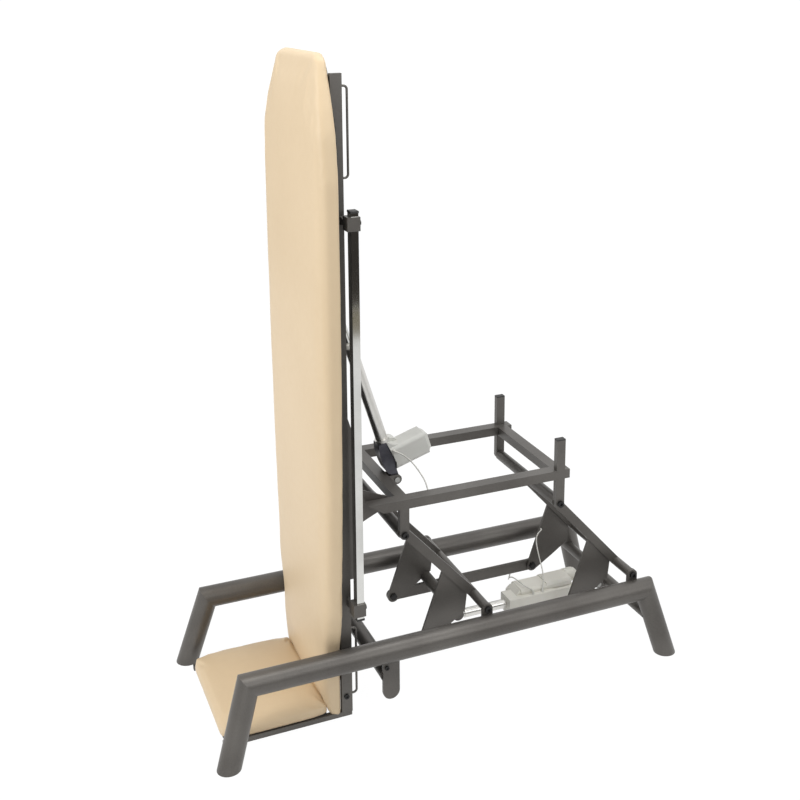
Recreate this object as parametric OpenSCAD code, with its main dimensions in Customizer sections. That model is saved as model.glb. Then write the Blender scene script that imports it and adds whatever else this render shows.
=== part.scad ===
// Electric tilt table with a parallelogram lift, shown with its top upright.
// Origin on the floor at the middle of the base, +X to the head end, +Z up.
// Millimetres.

/* [Base frame] */
// Diameter of the base rails and legs
rail_d = 70; // [64:1:74]
// Gap between the upper frame's sides and the rails
rail_gap = 7; // [5:0.5:12]
// Height of the rail axes
rail_z = 233; // [228:1:236]
// Length of a rail from the rear arm pivot to its elbow
rail_overhang = 39; // [34:1:79]
// How far a leg leans outwards along the rail
leg_run = 70; // [50:1:80]
// How far a leg leans outwards across the rail
leg_spread = 30; // [20:1:40]
// Diameter of the cross tube at the foot end
foot_tube_d = 50; // [42:1:52]
// Diameter of the cross tube at the head end
head_tube_d = 36; // [30:1:40]

/* [Lift arms] */
// Distance between the front and the rear arms
arm_spacing = 540; // [530:1:550]
// Horizontal distance between an arm's two pivots
arm_run = 270; // [264:1:274]
// Vertical distance between an arm's two pivots
arm_rise = 296; // [290:1:300]
// Height of an arm's section
arm_h = 29; // [24:1:29]
// Thickness of an arm's section
arm_t = 20; // [14:1:22]
// Diameter of the lower pivot tubes
pivot_tube_d = 31; // [30:1:33]
// Diameter of the upper cross tubes
top_tube_d = 36; // [30:1:38]
// Diameter of the pivot bolts
bolt_d = 16; // [12:1:17]

/* [Upper frame] */
// Half the outside width of the upper frame
frame_half_w = 223; // [221:0.5:225]
// Width of a side bar
bar_w = 40; // [36:1:42]
// Height of a side bar
bar_h = 30; // [26:1:32]
// Width of a leg's section along the table
leg_w = 30; // [26:1:32]

/* [Table top] */
// Height of the upright top above the floor
table_h = 2036; // [1990:1:2080]
// Half the width of the pad at the chest
pad_half_w = 297; // [292:1:305]
// Thickness of the pad with its board
pad_t = 63; // [50:1:66]
// Height of the crown in the middle of the pad
pad_crown = 8; // [4:0.5:12]
// Thickness of the boards under the pads
board_t = 10; // [8:1:12]
// Length of the foot pad
foot_len = 325; // [290:1:335]
// Half the width of the foot pad
foot_half_w = 213; // [200:1:217]
// Diameter of the hoop wire
wire_d = 7; // [5:0.5:8]
// Width of an accessory rail's section
side_rail_w = 30; // [26:1:32]

/* [Actuators] */
// Outside diameter of the tilt actuator's tube
tube_d = 38; // [36:1:42]
// Diameter of the actuator rods
rod_d = 22; // [18:1:23]
// Diameter of the actuator pins
pin_d = 12; // [10:1:13]

/* [Hidden] */

$fn = 64;
play = 0.05;
gap = 0.3;

steel = [0.34, 0.33, 0.31];
dark_steel = [0.16, 0.16, 0.16];
chrome = [0.78, 0.79, 0.8];
hide = [0.87, 0.78, 0.63];
grey_case = [0.67, 0.68, 0.65];
ivory = [0.88, 0.86, 0.78];
black_rubber = [0.08, 0.08, 0.08];

rail_r = rail_d / 2;
rail_y = frame_half_w + rail_gap + rail_r;
leg_dir = [leg_run, leg_spread, -rail_z];
leg_len = norm(leg_dir);

foot_tube_x = -242;
foot_tube_z = 150;
plate_w = 54;
plate_t = 10;
plate_bottom = 71;

front_x = 101;
rear_x = front_x + arm_spacing;
rail_half = rear_x + rail_overhang;
head_tube_x = rail_half + 10;
head_tube_z = 138;
pivot_z = rail_z + rail_r + pivot_tube_d / 2 + 0.5;
bracket_y = rail_y - 27;
bracket_t = 12;
bracket_r = 17.5;
arm_y = 140;
arm_len = norm([arm_run, arm_rise]);
arm_angle = atan2(arm_rise, -arm_run);
gusset_t = 8;
tie_x = -169;
tie_z = -123;
tie_t = 12;
tie_h = 38;
tie_r = 20;
gusset_tube_r = 19;
gusset_tube_at = [-48, -73];

top_x = front_x - arm_run;
top_z = pivot_z + arm_rise;
bar_z = top_z + 100;
bar_top = bar_z + bar_h / 2;
bar_low = bar_z - bar_h / 2;
bar_y = frame_half_w - bar_w;
bar_end = top_x + arm_spacing + 33;
leg_t = 20;
leg_y = frame_half_w - leg_t;
post_cap_t = 4;

hinge_x = top_x - 56;
hinge_z = bar_z;
back_x = hinge_x - 121;
post_top = hinge_z + (hinge_x - back_x) - 1;
tube_depth = 34;
tube_t = 15;
pad_back = back_x - tube_depth;
pad_front = pad_back - pad_t;
low_z = 30;
stiff_t = 17;
hinge_y = bar_y - 11;
hinge_t = 8;

lift_y = -10;
lift_z = head_tube_z - 6;
lift_eye_x = front_x - 51;
lift_far_x = head_tube_x - 40;
ear_gap = 14;
ear_t = 6;
ear_r = 16;

tilt_at = [top_x + 56.5, bar_z - 13];
tilt_eye = [back_x + 30, 1309];
tilt_vec = tilt_eye - tilt_at;
tilt_len = norm(tilt_vec);
tilt_turn = atan2(tilt_vec[0], tilt_vec[1]);

// Solid cylinder along Y between two values of y.
module bar_y_round(x, z, y0, y1, r) {
    translate([x, y1, z])
        rotate([90, 0, 0])
            cylinder(h = y1 - y0, r = r);
}

// Both sides of the table from the side with positive y.
module both_sides() {
    for (side = [0, 1])
        mirror([0, side, 0])
            children();
}

// Both ends of the base from the head end.
module both_ends() {
    for (end = [0, 1])
        mirror([end, 0, 0])
            children();
}

// A flat outline in X and Z made into a plate between two values of y.
module plate_xz(y0, y1) {
    translate([0, y1, 0])
        rotate([90, 0, 0])
            linear_extrude(height = y1 - y0)
                children();
}

// A box given by its two corners.
module box(low, high) {
    translate(low)
        cube(high - low);
}

// Everything on the far side of a plane through a point.
module beyond(point, normal) {
    size = 500;
    translate(point)
        rotate([0, acos(normal[2] / norm(normal)), atan2(normal[1], normal[0])])
            translate([-size / 2, -size / 2, 0])
                cube(size);
}

// Socket head screw along Y, its head's seat at seat_y and facing outwards.
module screw_y(x, z, seat_y, length, r, head_r, head_h) {
    translate([x, seat_y, z])
        rotate([-90, 0, 0])
            union() {
                translate([0, 0, -length])
                    cylinder(h = length + head_h / 2, r = r);
                difference() {
                    cylinder(h = head_h, r = head_r);
                    translate([0, 0, head_h * 0.45])
                        cylinder(h = head_h, r = head_r * 0.52, $fn = 6);
                }
            }
}

// ---- Base ----

module rail_cylinder(r) {
    translate([-rail_half - 100, rail_y, rail_z])
        rotate([0, 90, 0])
            cylinder(h = 2 * rail_half + 200, r = r);
}

module leg_cylinder(r) {
    translate([rail_half, rail_y, rail_z])
        rotate([0, acos(leg_dir[2] / leg_len), atan2(leg_dir[1], leg_dir[0])])
            translate([0, 0, -rail_d])
                cylinder(h = leg_len + 2 * rail_d, r = r);
}

elbow = [rail_half, rail_y, rail_z];
mitre = [1, 0, 0] + leg_dir / leg_len;

module base_rails() {
    color(steel)
        both_sides()
            difference() {
                rail_cylinder(rail_r);
                both_ends()
                    beyond(elbow, mitre);
            }
}

module base_legs() {
    color(steel)
        both_ends()
            both_sides()
                difference() {
                    leg_cylinder(rail_r);
                    beyond(elbow, -mitre);
                    box([0, 0, -200], [2000, 1000, 0]);
                }
}

module hanging_plates() {
    color(steel)
        both_sides()
            difference() {
                plate_xz(rail_y - plate_t / 2, rail_y + plate_t / 2)
                    union() {
                        translate([foot_tube_x + 7 - plate_w / 2, plate_bottom + plate_w / 2])
                            square([plate_w, rail_z - plate_bottom - plate_w / 2]);
                        translate([foot_tube_x + 7, plate_bottom + plate_w / 2])
                            circle(r = plate_w / 2);
                    }
                rail_cylinder(rail_r);
                bar_y_round(foot_tube_x - 8, foot_tube_z + 30, rail_y - 20, rail_y + 20, 4);
            }
}

module plate_bolts() {
    color(dark_steel)
        both_sides()
            screw_y(foot_tube_x - 8, foot_tube_z + 30, rail_y + plate_t / 2, 16, 4, 7, 5);
}

module foot_cross_tube() {
    color(steel)
        difference() {
            bar_y_round(foot_tube_x, foot_tube_z, -rail_y + plate_t / 2,
                rail_y - plate_t / 2, foot_tube_d / 2);
            both_sides()
                bar_y_round(foot_tube_x - 8, foot_tube_z + 30, rail_y - 20, rail_y, 4.2);
        }
}

module head_cross_tube() {
    color(steel)
        difference() {
            bar_y_round(head_tube_x, head_tube_z, -rail_y - 20, rail_y + 20, head_tube_d / 2);
            both_sides()
                leg_cylinder(rail_r);
            both_sides()
                box([head_tube_x - 60, rail_y + 5, 60], [head_tube_x + 60, rail_y + 60, 220]);
        }
}

module arm_brackets() {
    color(steel)
        both_sides()
            for (x = [front_x, rear_x])
                difference() {
                    plate_xz(bracket_y, bracket_y + bracket_t)
                        union() {
                            translate([x - bracket_r, rail_z])
                                square([2 * bracket_r, pivot_z - rail_z]);
                            translate([x, pivot_z])
                                circle(r = bracket_r);
                        }
                    rail_cylinder(rail_r);
                    bar_y_round(x, pivot_z, bracket_y - 5, bracket_y + bracket_t + 5, bolt_d / 2);
                }
}

module bracket_bolts() {
    color(dark_steel)
        both_sides()
            for (x = [front_x, rear_x])
                screw_y(x, pivot_z, bracket_y + bracket_t, bracket_t + 34, bolt_d / 2, bolt_d * 0.68, 8);
}

// Pair of ears with a pin hole, from a face on the side given by toward.
module ears(x, z, root_x, r, y_mid) {
    for (side = [-1, 1])
        translate([0, y_mid + side * (ear_gap + ear_t / 2), 0])
            difference() {
                plate_xz(-ear_t / 2, ear_t / 2)
                    union() {
                        translate([min(x, root_x), z - r])
                            square([abs(root_x - x), 2 * r]);
                        translate([x, z])
                            circle(r = r);
                    }
                bar_y_round(x, z, -ear_t, ear_t, pin_d / 2);
            }
}

// Pin through a pair of ears, with a head at one end and a clip at the other.
module ear_pin(x, z, y_mid) {
    half = ear_gap + ear_t;
    bar_y_round(x, z, y_mid - half - 4, y_mid + half + 4, pin_d / 2);
    for (y = [y_mid - half - 4, y_mid + half])
        bar_y_round(x, z, y, y + 4, pin_d / 2 + 3);
}

module lift_anchor() {
    color(steel)
        difference() {
            ears(lift_far_x, lift_z, head_tube_x - 2, 14, lift_y);
            bar_y_round(head_tube_x, head_tube_z, -60, 60, head_tube_d / 2);
        }
}

module lift_anchor_pin() {
    color(chrome)
        ear_pin(lift_far_x, lift_z, lift_y);
}

// ---- Lift arms ----

module pivot_tube(x) {
    half = bracket_y - gap;
    difference() {
        bar_y_round(x, pivot_z, -half, half, pivot_tube_d / 2);
        both_sides()
            bar_y_round(x, pivot_z, half - 40, half + 10, bolt_d / 2 + play);
    }
}

module top_tube(x) {
    half = leg_y - gap;
    difference() {
        bar_y_round(x, top_z, -half, half, top_tube_d / 2);
        both_sides()
            bar_y_round(x, top_z, half - 40, half + 10, bolt_d / 2 + play);
    }
}

module arm_bars(x) {
    both_sides()
        difference() {
            translate([x, arm_y - arm_t / 2, pivot_z])
                rotate([0, -arm_angle, 0])
                    translate([0, 0, -arm_h / 2])
                        cube([arm_len, arm_t, arm_h]);
            bar_y_round(x, pivot_z, 100, 180, pivot_tube_d / 2);
            bar_y_round(x - arm_run, top_z, 100, 180, top_tube_d / 2);
        }
}

// Height of the arm's underside, measured from the lower pivot.
function underside(x) =
    -x * arm_rise / arm_run - arm_h / 2 * arm_len / arm_run;

gusset_outline = [
    [-23, underside(-23)], [-30, -56], [-88, -95],
    [tie_x + 6, tie_z - 19], [tie_x - 19.5, tie_z + 4.5],
    [-111, underside(-111)]
];

module gussets(x) {
    both_sides()
        translate([x, 0, pivot_z])
            difference() {
                plate_xz(arm_y - gusset_t / 2, arm_y + gusset_t / 2)
                    union() {
                        polygon(gusset_outline);
                        translate([tie_x, tie_z])
                            circle(r = tie_r);
                    }
                bar_y_round(0, 0, 100, 180, pivot_tube_d / 2);
                bar_y_round(tie_x, tie_z, 100, 180, bolt_d / 2);
            }
}

module tie_pins(x) {
    face = arm_y - gusset_t / 2;
    both_sides()
        translate([x + tie_x, face, pivot_z + tie_z])
            rotate([90, 0, 0])
                cylinder(h = 5, r = bolt_d * 0.8, $fn = 6);
    both_sides()
        screw_y(x + tie_x, pivot_z + tie_z, arm_y + gusset_t / 2 + gap + tie_t + gap,
            tie_t + gusset_t + 2 * gap + 6, bolt_d / 2, bolt_d * 0.68, 6);
}

module front_pivot_tube() {
    color(steel)
        pivot_tube(front_x);
}

module front_arms_bars() {
    color(steel)
        arm_bars(front_x);
}

module front_top_tube() {
    color(steel)
        top_tube(top_x);
}

module front_gussets() {
    color(steel)
        gussets(front_x);
}

module front_gusset_tube() {
    color(steel)
        bar_y_round(front_x + gusset_tube_at[0], pivot_z + gusset_tube_at[1],
            -arm_y + gusset_t / 2, arm_y - gusset_t / 2, gusset_tube_r);
}

module lift_rod_lug() {
    tube_z = pivot_z + gusset_tube_at[1];
    color(steel)
        for (side = [-1, 1])
            translate([0, lift_y + side * (ear_gap + ear_t / 2), 0])
                difference() {
                    plate_xz(-ear_t / 2, ear_t / 2)
                        union() {
                            translate([lift_eye_x - 17, lift_z])
                                square([34, tube_z - lift_z]);
                            translate([lift_eye_x, lift_z])
                                circle(r = 17);
                        }
                    bar_y_round(front_x + gusset_tube_at[0], tube_z, -50, 50, gusset_tube_r);
                }
}

module front_tie_pins() {
    color(dark_steel)
        tie_pins(front_x);
}

module rear_pivot_tube() {
    color(steel)
        pivot_tube(rear_x);
}

module rear_arms_bars() {
    color(steel)
        arm_bars(rear_x);
}

module rear_top_tube() {
    color(steel)
        top_tube(top_x + arm_spacing);
}

module rear_gussets() {
    color(steel)
        gussets(rear_x);
}

module rear_tie_pins() {
    color(dark_steel)
        tie_pins(rear_x);
}

module tie_bars() {
    x0 = front_x + tie_x;
    z0 = pivot_z + tie_z;
    y0 = arm_y + gusset_t / 2 + gap;
    color(steel)
        both_sides()
            difference() {
                plate_xz(y0, y0 + tie_t)
                    union() {
                        translate([x0, z0 - tie_h / 2])
                            square([arm_spacing, tie_h]);
                        for (x = [x0, x0 + arm_spacing])
                            translate([x, z0])
                                circle(r = tie_h / 2);
                    }
                for (x = [x0, x0 + arm_spacing])
                    bar_y_round(x, z0, y0 - 5, y0 + tie_t + 5, bolt_d / 2 + play);
            }
}

// ---- Upper frame ----

module side_bars() {
    color(steel)
        both_sides()
            difference() {
                plate_xz(bar_y, frame_half_w)
                    polygon([[top_x - 69, bar_low], [bar_end, bar_low],
                        [bar_end, bar_top], [top_x - 113, bar_top]]);
                bar_y_round(hinge_x, hinge_z, bar_y - 5, bar_y + 22, bolt_d / 2);
            }
}

module cross_bars() {
    color(steel)
        for (x = [top_x - 18, top_x + arm_spacing - 21])
            box([x, -bar_y, bar_low], [x + 37, bar_y, bar_top]);
}

module uprights() {
    x = top_x + arm_spacing;
    color(steel)
        both_sides()
            box([x - leg_w / 2, leg_y, bar_top],
                [x + leg_w / 2, frame_half_w, post_top - post_cap_t]);
}

module upright_caps() {
    x = top_x + arm_spacing;
    color(black_rubber)
        both_sides()
            box([x - leg_w / 2, leg_y, post_top - post_cap_t],
                [x + leg_w / 2, frame_half_w, post_top]);
}

module lower_legs() {
    color(steel)
        both_sides()
            for (x = [top_x, top_x + arm_spacing])
                difference() {
                    plate_xz(leg_y, frame_half_w)
                        union() {
                            translate([x - leg_w / 2, top_z])
                                square([leg_w, bar_low - top_z]);
                            translate([x, top_z])
                                circle(r = leg_w / 2);
                        }
                    bar_y_round(x, top_z, leg_y - 5, frame_half_w + 5, bolt_d / 2);
                }
}

module leg_bolts() {
    color(dark_steel)
        both_sides()
            for (x = [top_x, top_x + arm_spacing])
                screw_y(x, top_z, frame_half_w, leg_t + 34, bolt_d / 2, bolt_d * 0.68, 8);
}

module tilt_anchor() {
    color(steel)
        ears(tilt_at[0], tilt_at[1], top_x + 19, ear_r, 0);
}

module tilt_anchor_pin() {
    color(chrome)
        ear_pin(tilt_at[0], tilt_at[1], 0);
}

module tilt_pivots() {
    y0 = hinge_y - gap - 7;
    color(dark_steel)
        both_sides()
            union() {
                bar_y_round(hinge_x, hinge_z, y0, bar_y + 22, bolt_d / 2);
                bar_y_round(hinge_x, hinge_z, y0, y0 + 7, bolt_d / 2 + 4);
            }
}

// ---- Table top ----

module table_side_tubes() {
    color(steel)
        both_sides()
            difference() {
                box([pad_back, frame_half_w - tube_t, low_z],
                    [back_x, frame_half_w, table_h - 56]);
                bar_y_round(pad_back + 15, 85, frame_half_w - tube_t - 5, frame_half_w + 5, 5);
            }
}

cross_tube_z = [150, 480, 980, tilt_eye[1], table_h - 100];

module table_cross_tubes() {
    y1 = frame_half_w - tube_t;
    color(steel)
        for (z = cross_tube_z)
            box([pad_back, -y1, z - 15], [back_x - 4, y1, z + 15]);
}

// Half width of the pad at a height, from the foot end to the head end.
pad_sides = [
    [low_z, frame_half_w - 20], [230, frame_half_w - 20], [262, frame_half_w - 17],
    [300, 218], [335, 234], [365, 243],
    [430, pad_half_w - 40], [567, pad_half_w - 27], [760, pad_half_w - 15],
    [1067, pad_half_w - 5], [1365, pad_half_w], [1692, pad_half_w - 1],
    [table_h - 194, pad_half_w - 20], [table_h - 75, pad_half_w - 70]
];
foot_sides = [[0, foot_half_w], [foot_len, foot_half_w]];

// Half width at a place, with rounded corners of radius r at the chosen ends.
function pad_width(sides, s, length, r_low, r_high) =
    let (w = lookup(s, sides))
    let (low = max(0, r_low - s))
    let (high = max(0, s - (length - r_high)))
    w - r_low + sqrt(max(0, r_low * r_low - low * low))
        - r_high + sqrt(max(0, r_high * r_high - high * high));

// Cross-section of a cushion: flat at the back, soft corners, crowned front.
function pad_section(w, t, crown, r) = [
    [-w + 4, 0],
    [-w, (t - r) * 0.55],
    for (a = [0 : 22.5 : 90]) [-w + r - r * cos(a), t - r + r * sin(a)],
    for (k = [-4 : 4]) let (y = k / 5) [y * (w - r), t + crown * (1 - y * y)],
    for (a = [90 : -22.5 : 0]) [w - r + r * cos(a), t - r + r * sin(a)],
    [w, (t - r) * 0.55],
    [w - 4, 0]
];

// Thickness lost at a distance s from the lower end; each end has the loss at
// the very end and the length over which it fades out.
function thinning(s, length, low, high) =
    let (a = max(0, 1 - s / low[1]))
    let (b = max(0, 1 - (length - s) / high[1]))
    low[0] * a * a + high[0] * b * b;

// A cushion that lies on the XY plane with its length along X.
module cushion(sides, first, last, thick, crown, edge, r_low, r_high, steps, low, high) {
    ends = [0, 0.03, 0.12, 0.3, 0.6, 1];
    span = last - first;
    body = [for (k = [1 : steps - 1]) first + edge + (span - 2 * edge) * k / steps];
    stations = concat([for (e = ends) first + edge * e], body,
        [for (k = [5 : -1 : 0]) last - edge * ends[k]]);
    rows = [for (s = stations)
        let (d = min(s - first, last - s, edge) / edge)
        let (rise = sqrt(1 - (1 - d) * (1 - d)))
        let (reach = min((s - first) / 150, (last - s) / 150, 1))
        let (w = pad_width(sides, s, last, r_low, r_high) - 4 * (1 - rise))
        let (full = thick - thinning(s - first, span, low, high))
        let (t = full - min(edge, full * 0.7) * (1 - rise))
        [for (p = pad_section(w, t, crown * reach, min(edge, t * 0.7)))
            [s, p[0], p[1]]]];
    n = len(rows[0]);
    m = len(rows);
    polyhedron(
        points = [for (row = rows) each row],
        faces = concat(
            [[for (i = [n - 1 : -1 : 0]) i]],
            [[for (i = [0 : n - 1]) (m - 1) * n + i]],
            [for (j = [0 : m - 2]) for (i = [0 : n - 1])
                each [
                    [j * n + i, (j + 1) * n + (i + 1) % n, (j + 1) * n + i],
                    [j * n + i, j * n + (i + 1) % n, (j + 1) * n + (i + 1) % n]
                ]]),
        convexity = 6);
}

// Lies a cushion made along X upright, its front to the foot end.
module upright(x) {
    multmatrix([[0, 0, -1, x], [0, 1, 0, 0], [1, 0, 0, 0], [0, 0, 0, 1]])
        children();
}

module pad() {
    color(hide)
        upright(pad_back - board_t)
            cushion(pad_sides, low_z, table_h, pad_t - board_t - pad_crown,
                pad_crown, 20, 0, 75, 30, [26, 200], [24, 250]);
}

board_inset = 14;
board_outline = [for (p = pad_sides) [p[0], p[1] - board_inset]];
board_top = [for (a = [0 : 10 : 90])
    [table_h - 75 - board_inset + 75 * sin(a), pad_half_w - 145 - board_inset + 75 * cos(a)]];

module pad_board() {
    half = concat([[low_z + 10, board_outline[0][1]]],
        [for (k = [1 : len(board_outline) - 2]) board_outline[k]], board_top);
    color(hide)
        upright(pad_back)
            linear_extrude(height = board_t)
                polygon(concat(half, [for (k = [len(half) - 1 : -1 : 0]) [half[k][0], -half[k][1]]]));
}

module hinge_stiffeners() {
    y1 = frame_half_w - tube_t;
    color(steel)
        both_sides()
            plate_xz(hinge_y, y1)
                polygon([[back_x, hinge_z - 216], [back_x + stiff_t, hinge_z - 216],
                    [back_x + stiff_t, hinge_z + 260], [back_x, hinge_z + 314]]);
}

module hinge_plates() {
    root = back_x + stiff_t;
    color(steel)
        both_sides()
            difference() {
                plate_xz(hinge_y, hinge_y + hinge_t)
                    union() {
                        polygon([[root, hinge_z - 70], [root, hinge_z + 70],
                            [hinge_x, hinge_z + 22], [hinge_x, hinge_z - 22]]);
                        translate([hinge_x, hinge_z])
                            circle(r = 22);
                    }
                bar_y_round(hinge_x, hinge_z, hinge_y - 5, hinge_y + hinge_t + 5, bolt_d / 2 + play);
            }
}

// Wire hoop on the back of a side tube between two heights.
module hoop(z0, z1) {
    bend = 10;
    reach = 20 - wire_d / 2;
    x1 = back_x + reach;
    y = frame_half_w - tube_t / 2;
    translate([x1, y, z0 + bend])
        cylinder(h = z1 - z0 - 2 * bend, r = wire_d / 2);
    for (end = [0, 1])
        translate([0, 0, end * (z0 + z1)])
            mirror([0, 0, end]) {
                translate([back_x, y, z0])
                    rotate([0, 90, 0])
                        cylinder(h = reach - bend, r = wire_d / 2);
                translate([x1 - bend, y, z0 + bend])
                    rotate([-90, 0, 0])
                        rotate_extrude(angle = 90)
                            translate([bend, 0])
                                circle(r = wire_d / 2);
            }
}

module strap_hoops() {
    color(steel)
        both_sides()
            union() {
                hoop(table_h - 346, table_h - 91);
                hoop(88, 308);
            }
}

side_rail_x = [back_x - 2, back_x + 20];
side_rail_y = [frame_half_w + 33, frame_half_w + 33 + side_rail_w];
side_rail_z = [368, 1608];

module accessory_rails() {
    color(chrome)
        both_sides()
            box([side_rail_x[0], side_rail_y[0], side_rail_z[0] + 6],
                [side_rail_x[1], side_rail_y[1], side_rail_z[1] - 6]);
}

module rail_caps() {
    color(black_rubber)
        both_sides()
            for (z = [side_rail_z[0], side_rail_z[1] - 6])
                box([side_rail_x[0] - 1, side_rail_y[0] - 1, z],
                    [side_rail_x[1] + 1, side_rail_y[1] + 1, z + 6]);
}

clamp_z = [side_rail_z[0] + 35, side_rail_z[1] - 36];

module rail_clamps() {
    y1 = side_rail_y[0] - 5;
    color(steel)
        both_sides()
            for (z = clamp_z)
                difference() {
                    union() {
                        box([side_rail_x[0] - 12, y1, z - 20],
                            [side_rail_x[1] + 4, side_rail_y[1] + 5, z + 20]);
                        translate([side_rail_x[0] - 11, 0, z])
                            rotate([90, 0, 90])
                                linear_extrude(height = 8)
                                    polygon([[frame_half_w, -13], [y1 + 1, -7],
                                        [y1 + 1, 7], [frame_half_w, 13]]);
                    }
                    box([side_rail_x[0], side_rail_y[0], z - 40],
                        [side_rail_x[1], side_rail_y[1], z + 40]);
                    translate([side_rail_x[1] - 1, (side_rail_y[0] + side_rail_y[1]) / 2, z])
                        rotate([0, 90, 0])
                            cylinder(h = 20, r = 4);
                }
}

module clamp_screws() {
    color(dark_steel)
        both_sides()
            for (z = clamp_z)
                translate([side_rail_x[1], (side_rail_y[0] + side_rail_y[1]) / 2, z])
                    rotate([0, 90, 0])
                        difference() {
                            union() {
                                cylinder(h = 6, r = 4);
                                translate([0, 0, 4])
                                    cylinder(h = 7, r = 7);
                            }
                            translate([0, 0, 7])
                                cylinder(h = 6, r = 3.6, $fn = 6);
                        }
}

foot_x1 = pad_back - board_t - 32;
foot_x0 = foot_x1 - foot_len;

module foot_bars() {
    y0 = frame_half_w - tube_t - 6;
    color(steel)
        both_sides()
            difference() {
                union() {
                    box([foot_x0, y0, 14], [back_x, y0 + 16, low_z]);
                    box([pad_back + 2, y0, low_z - 5], [back_x - 5, y0 + 6, 125]);
                }
                bar_y_round(pad_back + 15, 85, y0 - 5, y0 + 10, 5);
            }
}

module foot_bolts() {
    color(dark_steel)
        both_sides()
            screw_y(pad_back + 15, 85, frame_half_w, tube_t + 10, 5, 8, 5);
}

module foot_board() {
    color(hide)
        translate([foot_x0 + 4, 0, low_z])
            linear_extrude(height = 7)
                union() {
                    translate([20, -foot_half_w + 4])
                        square([foot_len - 28, 2 * foot_half_w - 8]);
                    translate([0, -foot_half_w + 24])
                        square([40, 2 * foot_half_w - 48]);
                    for (side = [-1, 1])
                        translate([20, side * (foot_half_w - 24)])
                            circle(r = 20);
                }
}

module foot_pad() {
    color(hide)
        translate([foot_x0, 0, low_z + 7])
            cushion(foot_sides, 0, foot_len, 19, 4, 9, 30, 14, 8, [0, 1], [0, 1]);
}

module tilt_rod_bracket() {
    color(steel)
        both_sides()
            translate([0, ear_gap + ear_t / 2, 0])
                difference() {
                    plate_xz(-ear_t / 2, ear_t / 2)
                        union() {
                            translate([back_x - 4, tilt_eye[1] - ear_r])
                                square([tilt_eye[0] - back_x + 4, 2 * ear_r]);
                            translate([tilt_eye[0], tilt_eye[1]])
                                circle(r = ear_r);
                        }
                    bar_y_round(tilt_eye[0], tilt_eye[1], -ear_t, ear_t, pin_d / 2);
                }
}

// ---- Tilt actuator, made along +Z from its lower pivot ----

module along_tilt() {
    translate([tilt_at[0], 0, tilt_at[1]])
        rotate([0, tilt_turn, 0])
            children();
}

// A box with its four edges along Z rounded.
module soft_box(low, high, r) {
    translate([0, 0, low[2]])
        linear_extrude(height = high[2] - low[2])
            union() {
                translate([low[0] + r, low[1]])
                    square([high[0] - low[0] - 2 * r, high[1] - low[1]]);
                translate([low[0], low[1] + r])
                    square([high[0] - low[0], high[1] - low[1] - 2 * r]);
                for (x = [low[0] + r, high[0] - r])
                    for (y = [low[1] + r, high[1] - r])
                        translate([x, y])
                            circle(r = r);
            }
}

// Flat eye on a pin, with a neck towards +Z.
module eye(r, half, neck) {
    difference() {
        union() {
            bar_y_round(0, 0, -half, half, r);
            box([-r * 0.8, -half, 0], [r * 0.8, half, neck]);
        }
        bar_y_round(0, 0, -half - 5, half + 5, pin_d / 2 + play);
    }
}

gear_top = 139;
gear_outline = [
    [-22, gear_top], [4, gear_top], [9, 100], [12.8, 64], [9.5, 46], [3, 35], [-5, 29.5],
    [-14, 29], [-21.5, 36], [-26, 50], [-28.4, 72], [-28.7, 103], [-26, 124]
];

module tilt_gearbox() {
    color(dark_steel)
        along_tilt()
            union() {
                eye(14, ear_gap - gap, 34);
                plate_xz(-25, 25)
                    polygon(gear_outline);
            }
}

// The motor's housing swells out of the gear housing's right side.
module tilt_motor_case() {
    color(grey_case)
        along_tilt()
            difference() {
                union() {
                    translate([6, 0, 79])
                        rotate([0, 90, 0])
                            soft_box([-39, -36, 0], [39, 36, 122], 14);
                    translate([128, 0, 79])
                        rotate([0, 90, 0])
                            linear_extrude(height = 13, scale = 0.74)
                                square([64, 58], center = true);
                    plate_xz(-28, 28)
                        polygon([[-4, 42], [44, 42], [44, 117], [30, 120], [18, 127],
                            [9, gear_top - 1], [-4, gear_top - 1]]);
                    bar_y_round(22, 110, 0, 36, 25);
                }
                plate_xz(-60, 60)
                    polygon(gear_outline);
            }
}

module tilt_tube() {
    wall = 3;
    color(chrome)
        along_tilt()
            difference() {
                union() {
                    translate([0, 0, gear_top])
                        cylinder(h = 10, r = tube_d / 2 + 5);
                    translate([0, 0, gear_top + 5])
                        cylinder(h = 341 - 5, r = tube_d / 2);
                }
                translate([0, 0, 169])
                    cylinder(h = 500, r = tube_d / 2 - wall);
            }
}

module tilt_collar() {
    color(ivory)
        along_tilt()
            difference() {
                translate([0, 0, gear_top + 341])
                    cylinder(h = 14, r = tube_d / 2 + 1.5);
                translate([0, 0, 470])
                    cylinder(h = 40, r = rod_d / 2 + play);
            }
}

// Rod of an actuator with its eye and the pin that the eye turns on.
module rod_and_eye(length, inside) {
    translate([0, 0, inside])
        cylinder(h = length - inside - 10, r = rod_d / 2);
    translate([0, 0, length])
        mirror([0, 0, 1])
            union() {
                bar_y_round(0, 0, -ear_gap + 3, ear_gap - 3, 15);
                bar_y_round(0, 0, -ear_gap + gap, ear_gap - gap, pin_d / 2);
                translate([0, 0, 8])
                    cylinder(h = 16, r = rod_d / 2 + 2);
            }
}

module tilt_rod() {
    color(chrome)
        along_tilt()
            rod_and_eye(tilt_len, 320);
}

// ---- Lift actuator, made along +Z from its far pivot ----

module along_lift() {
    translate([lift_far_x, lift_y, lift_z])
        rotate([0, -90, 0])
            children();
}

lift_reach = lift_far_x - lift_eye_x;

module lift_gearbox() {
    color(ivory)
        along_lift()
            union() {
                eye(13, ear_gap - gap, 125);
                soft_box([-22, -30, 118], [25, 34, 185], 5);
                soft_box([-32, -34, 185], [28, 34, 362], 5);
            }
}

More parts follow.
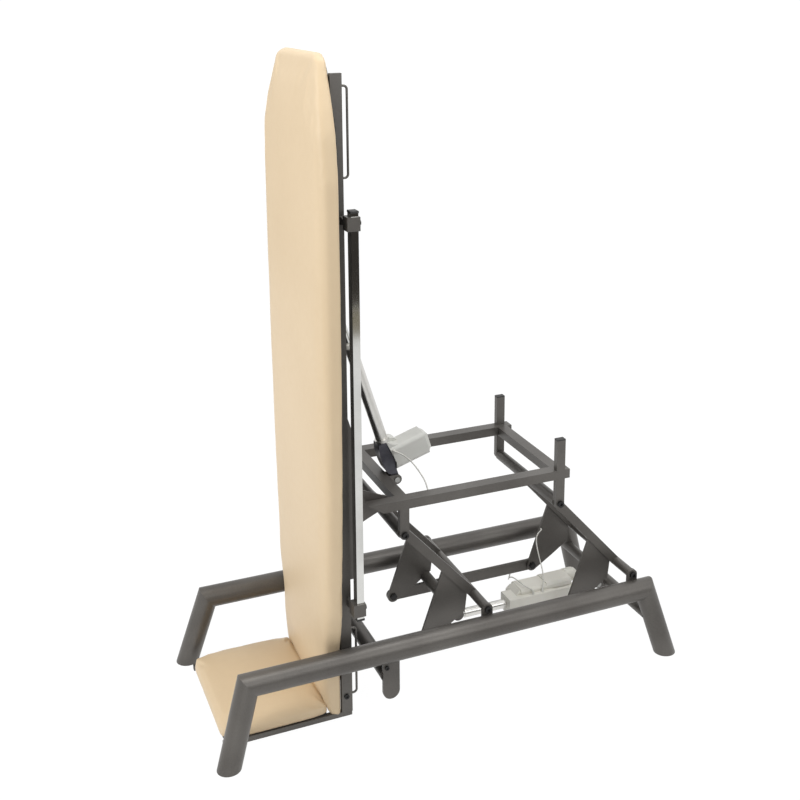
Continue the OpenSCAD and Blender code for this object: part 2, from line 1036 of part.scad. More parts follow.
// Cross-section of the motor's housing, which lies on and behind the channel.
module housing_section(y_near, y_far, top) {
    low = 28;
    polygon([[y_near, low], [24, low], [24, -20], [y_far, -20], [y_far, top - 8],
        [y_far - 8, top], [y_near + 8, top], [y_near, top - 8]]);
}

module lift_motor_case() {
    color(grey_case)
        translate([lift_far_x, 0, lift_z])
            union() {
                for (part = [[-310, -210, 46], [-210, -112, 50]])
                    translate([part[0], 0, 0])
                        rotate([90, 0, 90])
                            linear_extrude(height = part[1] - part[0])
                                housing_section(-30, 46, part[2]);
                difference() {
                    translate([-334, 0, 0])
                        rotate([90, 0, 90])
                            linear_extrude(height = 24)
                                housing_section(-25, 42, 43);
                    beyond([-328, 0, 28], [-1, 0, 1.1]);
                }
                translate([-112, 28, 30])
                    rotate([0, 90, 0])
                        union() {
                            cylinder(h = 32, r = 24);
                            translate([0, 0, 32])
                                cylinder(h = 10, r1 = 24, r2 = 21);
                            translate([0, 0, 42])
                                cylinder(h = 7, r1 = 21, r2 = 14);
                        }
            }
}

module lift_tube() {
    color(chrome)
        along_lift()
            difference() {
                translate([0, 0, 362])
                    cylinder(h = lift_reach - 442, r = tube_d / 2 - 3.5);
                translate([0, 0, 372])
                    cylinder(h = 400, r = rod_d / 2 + play);
            }
}

module lift_rod() {
    color(chrome)
        along_lift()
            rod_and_eye(lift_reach, lift_reach - 180);
}

// ---- Cables ----

// A point on a smooth curve through a list of points.
function between(p, k, t) =
    let (a = p[max(k - 1, 0)])
    let (b = p[k])
    let (c = p[k + 1])
    let (d = p[min(k + 2, len(p) - 1)])
    0.5 * (2 * b + (c - a) * t + (2 * a - 5 * b + 4 * c - d) * t * t
        + (3 * b - a - 3 * c + d) * t * t * t);

// A round cable swept along a smooth curve through hand-placed points, with a
// straight leg at each end.
module cable(route, r, steps) {
    sides = 8;
    path = concat([route[0]],
        [for (k = [1 : len(route) - 3]) for (j = [0 : steps - 1]) between(route, k, j / steps)],
        [route[len(route) - 2], route[len(route) - 1]]);
    last = len(path) - 1;
    rings = [for (k = [0 : last])
        let (d = path[min(k + 1, last)] - path[max(k - 1, 0)])
        let (u = d / norm(d))
        let (a = cross(u, [0.3, 1, 0.2]))
        let (v = a / norm(a))
        let (w = cross(u, v))
        [for (s = [0 : sides - 1])
            path[k] + r * (cos(360 * s / sides) * v + sin(360 * s / sides) * w)]];
    polyhedron(
        points = [for (ring = rings) each ring],
        faces = concat(
            [[for (i = [0 : sides - 1]) i]],
            [[for (i = [sides - 1 : -1 : 0]) last * sides + i]],
            [for (k = [0 : last - 1]) for (i = [0 : sides - 1])
                each [
                    [k * sides + i, (k + 1) * sides + (i + 1) % sides, k * sides + (i + 1) % sides],
                    [k * sides + i, (k + 1) * sides + i, (k + 1) * sides + (i + 1) % sides]
                ]]),
        convexity = 6);
}

cable_r = 2.5;
tilt_cable_route = [[-131, -36.3, 775], [-131, -43, 775], [-122, -52, 773], [-107, -67, 766],
    [-92, -95, 753], [-82, -130, 734], [-75, -158, 714], [-72, -174, 690],
    [-72, -bar_y + gap, 688]];
rear_cable_route = [[381, -38, lift_z + 28], [381, -38, 168], [372, -37, 180], [357, -26, 188],
    [350, 10, 190], [346, 48, 187], [352, 84, 166], [368, 122, 136], [386, 150, 127],
    [404, 168, 138], [440, 177, 158], [500, 180, 168], [560, 184, 182], [594, 200, 216],
    [600, 220, 233], [600, rail_y - rail_r - gap, 233]];
far_cable_route = [[417, -38, lift_z + 28], [417, -38, 170], [430, -24, 192], [448, 18, 206],
    [460, 66, 234], [469, 104, 268], [482, 119, 290], [503, 127, 300],
    [503, arm_y - gusset_t / 2 - 0.4, 300]];

module tilt_cable() {
    color(ivory)
        cable(tilt_cable_route, cable_r, 2);
}

module box_cable_rear() {
    color(ivory)
        cable(rear_cable_route, cable_r, 3);
}

module box_cable_far() {
    color(ivory)
        cable(far_cable_route, cable_r, 2);
}

base_rails();
base_legs();
foot_cross_tube();
head_cross_tube();
hanging_plates();
plate_bolts();
arm_brackets();
bracket_bolts();
lift_anchor();
lift_anchor_pin();
front_pivot_tube();
front_arms_bars();
front_top_tube();
front_gussets();
front_gusset_tube();
lift_rod_lug();
front_tie_pins();
rear_pivot_tube();
rear_arms_bars();
rear_top_tube();
rear_gussets();
rear_tie_pins();
tie_bars();
side_bars();
cross_bars();
uprights();
upright_caps();
lower_legs();
leg_bolts();
tilt_anchor();
tilt_anchor_pin();
tilt_pivots();
table_side_tubes();
table_cross_tubes();
pad_board();
pad();
hinge_stiffeners();
hinge_plates();
strap_hoops();
accessory_rails();
rail_caps();
rail_clamps();
clamp_screws();
foot_bars();
foot_board();
foot_pad();
foot_bolts();
tilt_rod_bracket();
tilt_gearbox();
tilt_motor_case();
tilt_tube();
tilt_collar();
tilt_rod();
lift_gearbox();
lift_motor_case();
lift_tube();
lift_rod();
tilt_cable();
box_cable_rear();
box_cable_far();
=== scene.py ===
import math

import bmesh
import bpy
from mathutils import Matrix, Vector


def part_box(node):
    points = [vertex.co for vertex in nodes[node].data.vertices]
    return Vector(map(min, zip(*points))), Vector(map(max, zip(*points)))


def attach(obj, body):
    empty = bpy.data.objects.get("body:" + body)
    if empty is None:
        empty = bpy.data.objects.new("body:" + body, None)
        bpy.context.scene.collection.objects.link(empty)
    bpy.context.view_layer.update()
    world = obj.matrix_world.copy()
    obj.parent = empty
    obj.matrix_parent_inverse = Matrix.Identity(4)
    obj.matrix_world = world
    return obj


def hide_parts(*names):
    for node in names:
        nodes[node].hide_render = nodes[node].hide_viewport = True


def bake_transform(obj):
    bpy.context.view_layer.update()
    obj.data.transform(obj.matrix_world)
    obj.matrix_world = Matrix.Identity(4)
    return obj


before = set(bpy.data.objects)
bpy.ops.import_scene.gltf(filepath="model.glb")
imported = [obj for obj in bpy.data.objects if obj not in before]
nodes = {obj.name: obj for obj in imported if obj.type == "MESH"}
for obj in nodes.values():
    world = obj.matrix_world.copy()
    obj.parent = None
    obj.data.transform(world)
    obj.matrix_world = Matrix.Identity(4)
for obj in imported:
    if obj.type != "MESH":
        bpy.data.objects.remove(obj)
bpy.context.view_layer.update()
scene = bpy.context.scene
scene.view_settings.view_transform = "Standard"

# ---------------------------------------------------------------- the viewpoint
# The table is seen from the foot end of its near side, a little above pad height.
# The lens sits high, so its axis is shifted to keep the uprights parallel.
EYE = Vector((-1.3492, -3.1464, 2.2040))
HEADING, DIP, ROLL = 0.40654, 0.21305, -0.00152
forward = Vector((math.sin(HEADING) * math.cos(DIP), math.cos(HEADING) * math.cos(DIP),
    -math.sin(DIP)))
level = Vector((math.cos(HEADING), -math.sin(HEADING), 0))
rise = level.cross(forward)
across = level * math.cos(ROLL) + rise * math.sin(ROLL)
upward = rise * math.cos(ROLL) - level * math.sin(ROLL)
camera = bpy.data.objects.new("camera", bpy.data.cameras.new("camera"))
camera.data.sensor_width = 36
camera.data.lens = 50.72
camera.data.shift_x = -0.03527
camera.data.shift_y = -0.2097
turned = Matrix((across, upward, -forward)).transposed().to_4x4()
camera.matrix_world = Matrix.Translation(EYE) @ turned
scene.collection.objects.link(camera)
scene.camera = camera


# ---------------------------------------------------------------- floor and light
# A plain white studio floor that still takes the faint shadows of the feet,
# under broad soft lamps from the front, the left, the right and above.
FLOOR_HALF = 9
FLOOR_GLOW, FLOOR_GLOW_SHARE = 1.06, 0.93
WORLD_ON_OBJECT, WORLD_SEEN = 0.36, 1.05


def shader(material, kind, **values):
    """A node in a material's tree, with values set on its own sockets."""
    node = material.node_tree.nodes.new(kind)
    for name, value in values.items():
        node.inputs[name.replace("_", " ")].default_value = value
    return node


def join(tree, source, output, target, field):
    tree.links.new(source.outputs[output], target.inputs[field])


def seen_directly(tree):
    """1 where the eye, a mirror or glass looks straight at the surface."""
    path = tree.nodes.new("ShaderNodeLightPath")
    either = tree.nodes.new("ShaderNodeMath")
    either.operation = "MAXIMUM"
    all_three = tree.nodes.new("ShaderNodeMath")
    all_three.operation = "MAXIMUM"
    join(tree, path, "Is Camera Ray", either, 0)
    join(tree, path, "Is Glossy Ray", either, 1)
    tree.links.new(either.outputs[0], all_three.inputs[0])
    join(tree, path, "Is Transmission Ray", all_three, 1)
    return all_three


def white_floor():
    material = bpy.data.materials.new("studio_white")
    material.use_nodes = True
    tree = material.node_tree
    tree.nodes.clear()
    paper = shader(material, "ShaderNodeBsdfDiffuse", Color=(0.86, 0.86, 0.86, 1))
    glow = shader(material, "ShaderNodeEmission", Color=(1, 1, 1, 1), Strength=FLOOR_GLOW)
    mix = tree.nodes.new("ShaderNodeMixShader")
    share = tree.nodes.new("ShaderNodeMath")
    share.operation = "MULTIPLY"
    share.inputs[1].default_value = FLOOR_GLOW_SHARE
    out = tree.nodes.new("ShaderNodeOutputMaterial")
    tree.links.new(seen_directly(tree).outputs[0], share.inputs[0])
    tree.links.new(share.outputs[0], mix.inputs[0])
    join(tree, paper, "BSDF", mix, 1)
    join(tree, glow, "Emission", mix, 2)
    join(tree, mix, "Shader", out, "Surface")
    return material


floor_corners = [(x * FLOOR_HALF, y * FLOOR_HALF, -0.0005)
    for x, y in ((-1, -1), (1, -1), (1, 1), (-1, 1))]
floor_mesh = bpy.data.meshes.new("floor")
floor_mesh.from_pydata(floor_corners, [], [(0, 1, 2, 3)])
floor = bpy.data.objects.new("floor", floor_mesh)
floor_mesh.materials.append(white_floor())
scene.collection.objects.link(floor)

world = bpy.data.worlds.new("studio")
world.use_nodes = True
scene.world = world
sky = world.node_tree.nodes["Background"]
sky.inputs["Color"].default_value = (1, 1, 1, 1)
strength = world.node_tree.nodes.new("ShaderNodeMapRange")
strength.inputs["To Min"].default_value = WORLD_ON_OBJECT
strength.inputs["To Max"].default_value = WORLD_SEEN
world_tree = world.node_tree
world_tree.links.new(seen_directly(world_tree).outputs[0], strength.inputs["Value"])
world_tree.links.new(strength.outputs["Result"], sky.inputs["Strength"])

for name, place, aim, power, size in (
    ("lamp_front", (-4.0, -0.9, 2.9), (0, 0, 0.9), 98, 2.2),
    ("lamp_left", (-3.4, 1.6, 2.4), (0, 0, 0.8), 22, 2.2),
    ("lamp_right", (1.4, -4.0, 2.9), (0.1, 0, 0.5), 44, 2.2),
    ("lamp_above", (0.4, -0.6, 4.2), (0, 0, 0.3), 60, 2.0),
):
    lamp = bpy.data.objects.new(name, bpy.data.lights.new(name, "AREA"))
    lamp.data.energy = power
    lamp.data.size = size
    lamp.location = place
    lamp.rotation_euler = (Vector(aim) - Vector(place)).to_track_quat("-Z", "Y").to_euler()
    scene.collection.objects.link(lamp)


# ---------------------------------------------------------------- dark cards
# Dark boards round the stage, out of the picture, give the polished metal
# something to mirror besides white. Three stand, and one lies on the floor.
def card(name, corners, grey):
    mesh = bpy.data.meshes.new(name)
    mesh.from_pydata(corners, [], [(0, 1, 2, 3)])
    piece = bpy.data.objects.new(name, mesh)
    material = bpy.data.materials.new(name)
    material.use_nodes = True
    tree = material.node_tree
    tree.nodes.clear()
    glow = shader(material, "ShaderNodeEmission", Color=(*grey, 1), Strength=1.0)
    out = tree.nodes.new("ShaderNodeOutputMaterial")
    join(tree, glow, "Emission", out, "Surface")
    mesh.materials.append(material)
    piece.visible_camera = piece.visible_diffuse = piece.visible_shadow = False
    scene.collection.objects.link(piece)


card("card_left", [(-3.2, -2.6, 0.05), (-3.2, 2.2, 0.05), (-3.2, 2.2, 3.0), (-3.2, -2.6, 3.0)],
    (0.10, 0.09, 0.08))
card("card_front", [(-1.2, -4.6, 0.02), (5.0, -4.6, 0.02), (5.0, -4.6, 2.0), (-1.2, -4.6, 2.0)],
    (0.05, 0.045, 0.04))
card("card_low", [(-1.2, -4.6, 0.01), (5.0, -4.6, 0.01), (5.0, -4.0, 0.01), (-1.2, -4.0, 0.01)],
    (0.30, 0.27, 0.20))
card("card_back", [(-3.0, 4.4, 0.2), (-0.6, 4.4, 0.2), (-0.6, 4.4, 2.6), (-3.0, 4.4, 2.6)],
    (0.22, 0.21, 0.20))


# ---------------------------------------------------------------- cables
# Three thin round PVC leads, each from a moulded collar on its drive's housing
# to the steelwork, with slack for the movement. Their routes are in millimetres.
CABLE_D = 0.0042
EASING = 6
TILT_ROUTE = [(-131, -36.3, 775), (-131, -43, 775), (-122, -52, 773), (-107, -67, 766),
    (-92, -95, 753), (-82, -130, 734), (-75, -158, 714), (-72, -174, 690), (-72, -182.7, 688)]
REAR_ROUTE = [(381, -38, 160), (381, -38, 168), (372, -37, 180), (357, -26, 188), (350, 10, 190),
    (346, 48, 187), (352, 84, 166), (368, 122, 136), (386, 150, 127), (404, 168, 138),
    (440, 177, 158), (500, 180, 168), (560, 184, 182), (594, 200, 216), (600, 220, 233),
    (600, 229.7, 233)]
FAR_ROUTE = [(417, -38, 160), (417, -38, 170), (430, -24, 192), (448, 18, 206), (460, 66, 234),
    (469, 104, 268), (482, 119, 290), (503, 127, 300), (503, 135.6, 300)]


def smooth_route(points, steps=8):
    """Points in metres on one eased curve by a route in millimetres, straight at both ends."""
    way = [Vector(p) / 1000 for p in points]
    line = [way[0].lerp(way[1], j / steps) for j in range(steps)]
    for k in range(1, len(way) - 2):
        a, b, c, d = way[k - 1], way[k], way[k + 1], way[k + 2]
        for j in range(steps):
            t = j / steps
            line.append(0.5 * (2 * b + (c - a) * t + (2 * a - 5 * b + 4 * c - d) * t * t
                + (3 * b - a - 3 * c + d) * t ** 3))
    line += [way[-2].lerp(way[-1], j / steps) for j in range(steps)] + [way[-1]]
    for _ in range(EASING):
        eased = [0.25 * a + 0.5 * b + 0.25 * c for a, b, c in zip(line, line[1:], line[2:])]
        line = [line[0]] + eased + [line[-1]]
    return line


def tube_along(name, line, radius, sides=12):
    """A round tube on a line; radius is one size, or a function of the distance along it."""
    mesh = bpy.data.meshes.new(name)
    bm = bmesh.new()
    rings = []
    gone = 0.0
    side = None
    for k, point in enumerate(line):
        if k:
            gone += (point - line[k - 1]).length
        u = (line[min(k + 1, len(line) - 1)] - line[max(k - 1, 0)]).normalized()
        side = u.orthogonal() if side is None else side - u * side.dot(u)
        side.normalize()
        other = u.cross(side)
        r = radius(gone) if callable(radius) else radius
        rings.append([bm.verts.new(point + r * (math.cos(math.tau * s / sides) * side
            + math.sin(math.tau * s / sides) * other)) for s in range(sides)])
    for a, b in zip(rings, rings[1:]):
        for s in range(sides):
            bm.faces.new((a[s], a[(s + 1) % sides], b[(s + 1) % sides], b[s]))
    bm.faces.new(rings[0][::-1])
    bm.faces.new(rings[-1])
    bm.to_mesh(mesh)
    bm.free()
    mesh.shade_smooth()
    piece = bpy.data.objects.new(name, mesh)
    scene.collection.objects.link(piece)
    return piece


def shader_group(name, inputs, outputs):
    """A new node group: inputs as name to default, outputs as name to socket kind."""
    tree = bpy.data.node_groups.new(name, "ShaderNodeTree")
    for label, value in inputs.items():
        kind = "NodeSocketColor" if isinstance(value, tuple) else "NodeSocketFloat"
        socket = tree.interface.new_socket(label, in_out="INPUT", socket_type=kind)
        socket.default_value = value
    for label, kind in outputs.items():
        tree.interface.new_socket(label, in_out="OUTPUT", socket_type=kind)
    return tree, tree.nodes.new("NodeGroupInput"), tree.nodes.new("NodeGroupOutput")


def speckle_group():
    """Two tones mixed in soft patches and a fine even grain; the grain gives the bump and the
    patches the gloss.
    """
    tree, given, out = shader_group("speckle",
        {"Tone": (0.5, 0.5, 0.5, 1), "Second Tone": (0.4, 0.4, 0.4, 1), "Patch Size": 0.03,
         "Grain Size": 0.001, "Gloss Low": 0.4, "Gloss High": 0.5},
        {"Color": "NodeSocketColor", "Roughness": "NodeSocketFloat", "Height": "NodeSocketFloat"})
    place = tree.nodes.new("ShaderNodeTexCoord")
    noises = []
    for label, detail in (("Patch Size", 3.0), ("Grain Size", 2.0)):
        scale = tree.nodes.new("ShaderNodeMath")
        scale.operation = "DIVIDE"
        scale.inputs[0].default_value = 1.0
        join(tree, given, label, scale, 1)
        noise = tree.nodes.new("ShaderNodeTexNoise")
        noise.inputs["Detail"].default_value = detail
        join(tree, place, "Object", noise, "Vector")
        tree.links.new(scale.outputs[0], noise.inputs["Scale"])
        noises.append(noise)
    patches, grain = noises
    soft = tree.nodes.new("ShaderNodeMapRange")
    soft.inputs["From Min"].default_value = 0.35
    soft.inputs["From Max"].default_value = 0.65
    soft.inputs["To Max"].default_value = 0.55
    join(tree, patches, "Fac", soft, "Value")
    both = tree.nodes.new("ShaderNodeMath")
    both.operation = "MULTIPLY_ADD"
    both.inputs[1].default_value = 0.45
    join(tree, grain, "Fac", both, 0)
    join(tree, soft, "Result", both, 2)
    mix = tree.nodes.new("ShaderNodeMix")
    mix.data_type = "RGBA"
    tree.links.new(both.outputs[0], mix.inputs["Factor"])
    tree.links.new(given.outputs["Tone"], mix.inputs[6])
    tree.links.new(given.outputs["Second Tone"], mix.inputs[7])
    gloss = tree.nodes.new("ShaderNodeMapRange")
    join(tree, patches, "Fac", gloss, "Value")
    join(tree, given, "Gloss Low", gloss, "To Min")
    join(tree, given, "Gloss High", gloss, "To Max")
    tree.links.new(mix.outputs[2], out.inputs["Color"])
    join(tree, gloss, "Result", out, "Roughness")
    join(tree, grain, "Fac", out, "Height")
    return tree


speckle = speckle_group()


def finish(name, tone, second, patch, grain, gloss, depth, **fixed):
    """A surface from the speckle group: its two tones, patch and grain sizes, gloss range
    and bump depth; fixed sets further sockets of the shader."""
    material = bpy.data.materials.new(name)
    material.use_nodes = True
    tree = material.node_tree
    surface = tree.nodes["Principled BSDF"]
    for label, value in fixed.items():
        surface.inputs[label.replace("_", " ")].default_value = value
    group = tree.nodes.new("ShaderNodeGroup")
    group.node_tree = speckle
    for label, value in (("Tone", (*tone, 1)), ("Second Tone", (*second, 1)),
            ("Patch Size", patch), ("Grain Size", grain), ("Gloss Low", gloss[0]),
            ("Gloss High", gloss[1])):
        group.inputs[label].default_value = value
    bump = shader(material, "ShaderNodeBump", Distance=depth, Strength=0.6)
    join(tree, group, "Color", surface, "Base Color")
    join(tree, group, "Roughness", surface, "Roughness")
    join(tree, group, "Height", bump, "Height")
    join(tree, bump, "Normal", surface, "Normal")
    return material


cable_pvc = finish("cable_pvc", (0.76, 0.75, 0.70), (0.68, 0.67, 0.62), 0.02, 0.0008,
    (0.35, 0.45), 0.00005)


def collar_radius(gone):
    """The collar's radius falls from 5 mm to 2.9 mm over its first 18 mm."""
    return 0.0050 - 0.12 * gone if gone < 0.018 else 0.0029


def lead(name, node, route):
    line = smooth_route(route)
    length = sum((b - a).length for a, b in zip(line, line[1:]))
    piece = tube_along(name, line, CABLE_D / 2)
    piece.data.materials.append(cable_pvc)
    collar = tube_along(name + "_collar", line[:17], collar_radius)
    collar.data.materials.append(cable_pvc)
    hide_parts(node)
    return piece, collar, line, length


for name, node, route, bodies in (
    ("tilt_lead", "tilt_cable", TILT_ROUTE, ("tilt_actuator", "upper_frame")),
    ("rear_lead", "box_cable_rear", REAR_ROUTE, ("lift_actuator", "base")),
    ("far_lead", "box_cable_far", FAR_ROUTE, ("lift_actuator",)),
):
    piece, collar, line, length = lead(name, node, route)
    if len(bodies) == 2:
        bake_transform(piece)
    else:
        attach(piece, bodies[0])
    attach(collar, bodies[0])


# ---------------------------------------------------------------- base
# Two rails of round steel tube with splayed legs mitred to their ends, a cross tube
# near each end, and welded plates and brackets, powder coated in a dark warm grey.
# The screws are black oxide, and the lift drive's anchor pin is turned steel.
def dress(names, material):
    """Gives CAD nodes their finish."""
    for name in names:
        mesh = nodes[name].data
        mesh.materials.clear()
        mesh.materials.append(material)


steel_paint = finish("steel_paint", (0.145, 0.136, 0.124), (0.076, 0.069, 0.062), 0.25, 0.0045,
    (0.38, 0.48), 0.0002, Metallic=0.4, Coat_Weight=0.08, Coat_Roughness=0.35)
black_oxide = finish("black_oxide", (0.020, 0.020, 0.021), (0.035, 0.034, 0.033), 0.006, 0.0006,
    (0.28, 0.42), 0.00005, Metallic=0.7)
bright_steel = finish("bright_steel", (0.34, 0.34, 0.33), (0.24, 0.24, 0.23), 0.012, 0.0005,
    (0.20, 0.30), 0.00003, Metallic=1.0)
dress(["base_rails", "base_legs", "foot_cross_tube", "head_cross_tube", "hanging_plates",
    "arm_brackets", "lift_anchor"], steel_paint)
dress(["plate_bolts", "bracket_bolts"], black_oxide)
dress(["lift_anchor_pin"], bright_steel)


# ---------------------------------------------------------------- lift arms and tie bars
# Two pairs of flat bar arms, each welded between a pivot tube and a top tube, with
# gusset plates under the bars. A tie bar on each side joins the front and rear
# gussets, and turns on black screws.
BAR_EDGE = 0.0013


def ease_edges(names, width, segments=2):
    """Rolls the sharp edges of bars and housings, as deburring, paint and moulding do."""
    for name in names:
        bevel = nodes[name].modifiers.new("eased_edge", "BEVEL")
        bevel.width = width
        bevel.segments = segments
        bevel.limit_method = "ANGLE"
        bevel.angle_limit = math.radians(50)


dress(["front_pivot_tube", "front_arms_bars", "front_top_tube", "front_gussets",
    "front_gusset_tube", "lift_rod_lug", "rear_pivot_tube", "rear_arms_bars", "rear_top_tube",
    "rear_gussets", "tie_bars"], steel_paint)
ease_edges(["front_arms_bars", "rear_arms_bars", "tie_bars"], BAR_EDGE)
dress(["front_tie_pins", "rear_tie_pins"], black_oxide)


# ---------------------------------------------------------------- upper frame
# Steel side bars and cross bars welded together, on four short legs that are bolted
# to the arms' top tubes. Two uprights with rubber caps stand over the rear legs.
black_rubber = finish("black_rubber", (0.022, 0.022, 0.022), (0.032, 0.031, 0.030), 0.01, 0.0012,
    (0.5, 0.62), 0.00006)
dress(["side_bars", "cross_bars", "uprights", "lower_legs", "tilt_anchor"], steel_paint)
ease_edges(["side_bars", "cross_bars", "uprights", "lower_legs"], BAR_EDGE)
dress(["leg_bolts", "tilt_pivots"], black_oxide)
dress(["tilt_anchor_pin"], bright_steel)
dress(["upright_caps"], black_rubber)


# ---------------------------------------------------------------- lift drive
# An electric spindle drive that lies along the base: an ivory moulded channel and
# motor housing, a round bright aluminium outer tube, and a chromed rod.
HOUSING_EDGE, HOUSING_EDGE_STEPS = 0.005, 4
housing_ivory = finish("housing_ivory", (0.86, 0.84, 0.77), (0.82, 0.80, 0.72), 0.04, 0.0009,
    (0.34, 0.44), 0.0001)
aluminium = finish("aluminium", (0.70, 0.69, 0.66), (0.60, 0.59, 0.56), 0.12, 0.004,
    (0.26, 0.34), 0.000004, Metallic=1.0)
chrome = finish("chrome", (0.72, 0.72, 0.70), (0.50, 0.50, 0.48), 0.35, 0.03, (0.05, 0.10),
    0.00001, Metallic=1.0)
dress(["lift_gearbox", "lift_motor_case"], housing_ivory)
ease_edges(["lift_gearbox", "lift_motor_case"], HOUSING_EDGE, HOUSING_EDGE_STEPS)
dress(["lift_tube"], aluminium)
dress(["lift_rod"], chrome)


# ---------------------------------------------------------------- tilt drive
# The same kind of drive, standing behind the top on its anchor: a cast gear
# housing coloured dark blue-grey all over, a painted reflection of the dark that
# its glossy grey casting mirrors, a grey moulded motor housing, and an ivory collar
# round the tube.
housing_grey = finish("housing_grey", (0.70, 0.70, 0.66), (0.65, 0.65, 0.61), 0.04, 0.0009,
    (0.36, 0.46), 0.00012)
# The gear housing's dark blue-grey is a painted reflection of dark surroundings on its grey
# casting.
gearbox_painted_reflection = finish("gearbox_painted_reflection", (0.085, 0.085, 0.100), (0.050, 0.050, 0.062), 0.02, 0.0012,
    (0.24, 0.36), 0.0002, Metallic=0.5)
dress(["tilt_gearbox"], gearbox_painted_reflection)
dress(["tilt_motor_case"], housing_grey)
ease_edges(["tilt_gearbox", "tilt_motor_case"], HOUSING_EDGE, HOUSING_EDGE_STEPS)
dress(["tilt_collar"], housing_ivory)
dress(["tilt_tube"], aluminium)
dress(["tilt_rod"], chrome)


# ---------------------------------------------------------------- frame of the table top
# Side tubes and cross tubes of steel, a stiffener and a hinge plate welded behind
# each side, and hoops of bent wire for straps near both ends. The plywood board
# is fixed on the tubes and coloured near black all over, painted shade that makes
# the side tubes mirror a dark underside.
# Near black all over: painted shade for the undersides of the boards.
board_painted_shade = finish("board_painted_shade", (0.030, 0.029, 0.028), (0.045, 0.043, 0.041), 0.02, 0.0016,
    (0.80, 0.90), 0.0003)
dress(["table_side_tubes", "table_cross_tubes", "hinge_stiffeners", "hinge_plates",
    "tilt_rod_bracket", "strap_hoops"], steel_paint)
ease_edges(["table_side_tubes", "table_cross_tubes"], BAR_EDGE)
dress(["pad_board"], board_painted_shade)


# ---------------------------------------------------------------- accessory rails
# A chromed flat rail along each side of the top, with rubber caps on its ends, held
# outside the side tubes by painted clamps with black socket screws.
dress(["accessory_rails"], chrome)
ease_edges(["accessory_rails"], 0.0015)
dress(["rail_caps"], black_rubber)
dress(["rail_clamps"], steel_paint)
ease_edges(["rail_clamps"], BAR_EDGE)
dress(["clamp_screws"], black_oxide)


# ---------------------------------------------------------------- foot platform
# A flat bar bolted inside each side tube carries a plywood board, coloured the
# same near black as the top's board, as painted shade for its underside.
dress(["foot_bars"], steel_paint)
ease_edges(["foot_bars"], BAR_EDGE)
dress(["foot_bolts"], black_oxide)
dress(["foot_board"], board_painted_shade)


# ---------------------------------------------------------------- body cushion
# Foam on plywood under a tight beige leatherette with a fine pebble grain,
# drawn round the edges and stapled out of sight at the back.
def leatherette():
    material = bpy.data.materials.new("leatherette")
    material.use_nodes = True
    tree = material.node_tree
    surface = tree.nodes["Principled BSDF"]
    surface.inputs["Sheen Weight"].default_value = 0.08
    place = tree.nodes.new("ShaderNodeTexCoord")
    pebbles = shader(material, "ShaderNodeTexVoronoi", Scale=620.0)
    pebbles.feature = "SMOOTH_F1"
    creases = shader(material, "ShaderNodeTexNoise", Scale=45.0, Detail=5.0)
    shade = shader(material, "ShaderNodeTexNoise", Scale=3.0, Detail=2.0)
    for texture in (pebbles, creases, shade):
        join(tree, place, "Object", texture, "Vector")
    tones = tree.nodes.new("ShaderNodeMix")
    tones.data_type = "RGBA"
    tones.inputs[6].default_value = (0.745, 0.590, 0.392, 1)
    tones.inputs[7].default_value = (0.690, 0.535, 0.343, 1)
    share = tree.nodes.new("ShaderNodeMath")
    share.operation = "MULTIPLY_ADD"
    share.inputs[1].default_value = 0.35
    join(tree, creases, "Fac", share, 0)
    join(tree, shade, "Fac", share, 2)
    tree.links.new(share.outputs[0], tones.inputs["Factor"])
    tree.links.new(tones.outputs[2], surface.inputs["Base Color"])
    gloss = shader(material, "ShaderNodeMapRange", To_Min=0.42, To_Max=0.55)
    join(tree, creases, "Fac", gloss, "Value")
    join(tree, gloss, "Result", surface, "Roughness")
    height = tree.nodes.new("ShaderNodeMath")
    height.operation = "MULTIPLY_ADD"
    height.inputs[1].default_value = 0.5
    join(tree, creases, "Fac", height, 0)
    join(tree, pebbles, "Distance", height, 2)
    bump = shader(material, "ShaderNodeBump", Distance=0.0004, Strength=0.35)
    tree.links.new(height.outputs[0], bump.inputs["Height"])
    join(tree, bump, "Normal", surface, "Normal")
    return material


leather = leatherette()
LAST_STEP = 20


def blow_up(piece, held, pressure, cap):
    """Fills a cover with air as cloth; held says which points stay, cap how far the others go."""
    scene.frame_start, scene.frame_end = 1, LAST_STEP
    group = piece.vertex_groups.new(name="held")
    group.add([v.index for v in piece.data.vertices if held(v.co)], 1.0, "REPLACE")
    cloth = piece.modifiers.new("cover", "CLOTH")
    cloth.settings.effector_weights.gravity = 0
    cloth.settings.use_pressure = True
    cloth.settings.uniform_pressure_force = pressure
    cloth.settings.vertex_group_mass = "held"
    cloth.settings.tension_stiffness = 30
    cloth.settings.compression_stiffness = 30
    cloth.settings.bending_stiffness = 2
    cloth.settings.quality = 4
    start = [v.co.copy() for v in piece.data.vertices]
    for step in range(1, LAST_STEP + 1):
        scene.frame_set(step)
    blown = piece.evaluated_get(bpy.context.evaluated_depsgraph_get()).data
    moved = [v.co.copy() for v in blown.vertices]
    piece.modifiers.remove(cloth)
    for v, a, b in zip(piece.data.vertices, start, moved):
        shift = b - a
        v.co = a + shift * min(1, cap / shift.length) if shift.length > 1e-9 else a
    scene.frame_set(1)


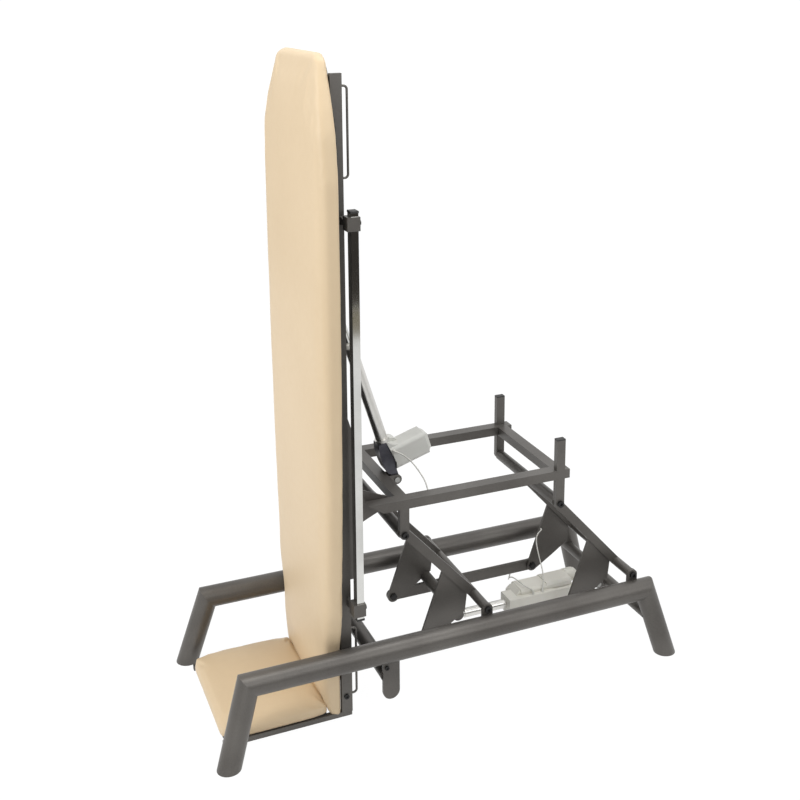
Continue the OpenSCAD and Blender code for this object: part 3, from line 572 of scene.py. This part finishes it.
def cushion(name, node, draw, voxel, held, pressure, cap, smooth):
    """A padded cover grown from the plain form that it stands for; draw moves each
    point of that form to where the stuffing and the pulled cover bring it."""
    piece = bpy.data.objects.new(name, nodes[node].data.copy())
    scene.collection.objects.link(piece)
    for v in piece.data.vertices:
        v.co = draw(v.co.copy())
    remesh = piece.modifiers.new("even", "REMESH")
    remesh.mode = "VOXEL"
    remesh.voxel_size = voxel
    shaped = piece.evaluated_get(bpy.context.evaluated_depsgraph_get())
    even = bpy.data.meshes.new_from_object(shaped)
    piece.modifiers.clear()
    piece.data = even
    blow_up(piece, held, pressure, cap)
    relax = piece.modifiers.new("relax", "SMOOTH")
    relax.factor = 0.5
    relax.iterations = smooth
    piece.modifiers.new("fine", "SUBSURF").render_levels = 1
    even.materials.clear()
    even.materials.append(leather)
    even.shade_smooth()
    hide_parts(node)
    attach(piece, "tabletop")
    return piece


pad_low, pad_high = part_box("pad")
BACK_OVERLAP = 0.0095
FOOT_END_WIDER, FOOT_END_FULLER, FOOT_END_LONGER = 0.107, 0.010, 0.011


def draw_body(p):
    """The cover goes round the board's edge, and the foot end is full down to the bars."""
    if p.x > pad_high[0] - 0.001:
        p.x += BACK_OVERLAP
    low = min(1, max(0, (pad_low[2] + 0.20 - p.z) / 0.20))
    p.y *= 1 + FOOT_END_WIDER * min(1, max(0, (pad_low[2] + 0.42 - p.z) / 0.15))
    if p.x < pad_high[0] - 0.002:
        p.x -= FOOT_END_FULLER * low * low
    p.z -= FOOT_END_LONGER * low ** 3
    return p


cushion("body_cushion", "pad", draw_body, voxel=0.007,
    held=lambda p: p.x > pad_high[0] - 0.004, pressure=3.0, cap=0.004, smooth=8)


# ---------------------------------------------------------------- foot cushion
# The platform's own pad, of the same foam and leatherette, its cover lapped down
# over the edge of its board.
foot_low, foot_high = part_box("foot_pad")
FOOT_OVERLAP, FOOT_TOP, FOOT_CROWN = 0.0065, 0.005, 0.013
TO_BODY, FREE_END, SIDE_BOW, CORNER_IN = 0.007, 0.004, 0.005, 0.006


def draw_foot(p):
    """The cushion swells in the middle, its sides bow out, its corners are drawn in
    and its end meets the body cushion."""
    u = (2 * p.x - foot_low[0] - foot_high[0]) / (foot_high[0] - foot_low[0])
    v = (2 * p.y - foot_low[1] - foot_high[1]) / (foot_high[1] - foot_low[1])
    if p.z < foot_low[2] + 0.001:
        p.z -= FOOT_OVERLAP
    else:
        p.z += FOOT_TOP + FOOT_CROWN * (1 - u * u) * (1 - v ** 6)
    p.x += (TO_BODY if u > 0 else -FREE_END) * abs(u) - CORNER_IN * u * v ** 4
    p.y += SIDE_BOW * v - CORNER_IN * v * u ** 4
    return p


cushion("foot_cushion", "foot_pad", draw_foot, voxel=0.004,
    held=lambda p: p.z < foot_low[2] + 0.002, pressure=3.0, cap=0.004, smooth=10)
